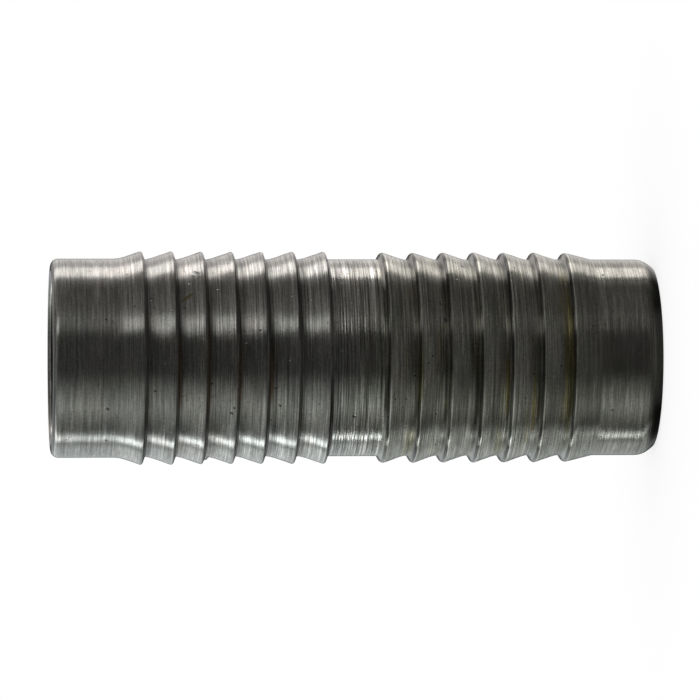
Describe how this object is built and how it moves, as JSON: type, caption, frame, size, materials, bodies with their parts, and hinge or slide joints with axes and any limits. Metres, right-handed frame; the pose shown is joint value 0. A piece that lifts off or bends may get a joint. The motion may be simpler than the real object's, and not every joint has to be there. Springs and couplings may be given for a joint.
{
  "type": "hose mender",
  "caption": "Straight round steel tube with barbs facing outward along both halves and a plain land between them, pushed into two hose ends to join them.",
  "frame": {"origin": "centre of the lower end face, on the tube's axis", "axes": "+Z along the tube's axis, from the lower end face to the upper one; X and Y are free, because the tube is round"},
  "size_m": [0.0272, 0.0272, 0.077],
  "materials": {
    "turned_steel": "as turned, unplated, with fine rings from the tool and light brown stains in the grooves"
  },
  "bodies": {
    "root": {"hose_mender": "turned_steel"}
  },
  "joints": []
}
